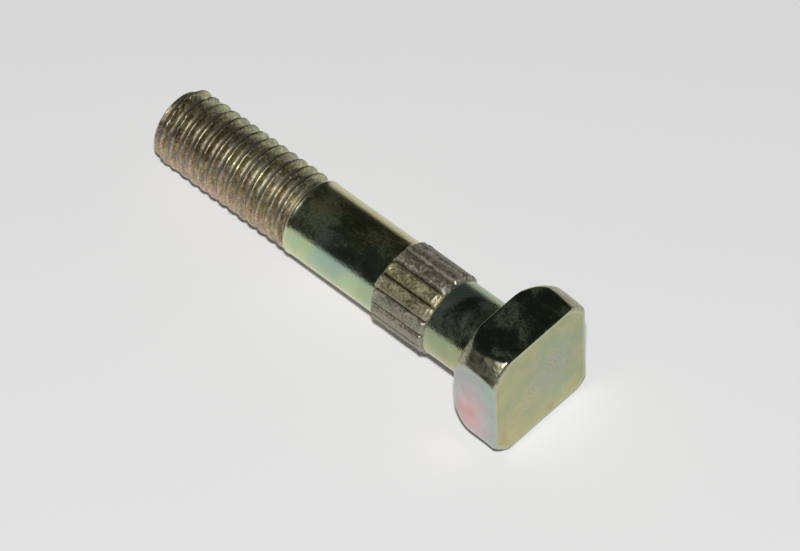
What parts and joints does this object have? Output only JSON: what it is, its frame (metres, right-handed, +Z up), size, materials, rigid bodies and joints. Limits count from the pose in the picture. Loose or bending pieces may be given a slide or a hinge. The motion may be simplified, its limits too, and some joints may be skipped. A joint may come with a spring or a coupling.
{
  "type": "chainsaw bar stud",
  "caption": "Plated steel stud with a coarse thread, plain shank, straight-knurled press collar, neck and square head; it clamps a chainsaw's guide bar and sprocket cover.",
  "frame": {"origin": "on the floor, at the middle of the part's plan, with the stud lying as it comes to rest", "axes": "+X along the stud towards its head, +Z up; the stud's own axis rises 3.53 degrees towards the head"},
  "size_m": [0.0466, 0.0128, 0.013],
  "materials": {
    "plated_steel": "yellow-chromated zinc plating on steel, semi-gloss, with a green, pink and ochre iridescence"
  },
  "bodies": {
    "root": {"bar_stud": "plated_steel"}
  },
  "joints": []
}
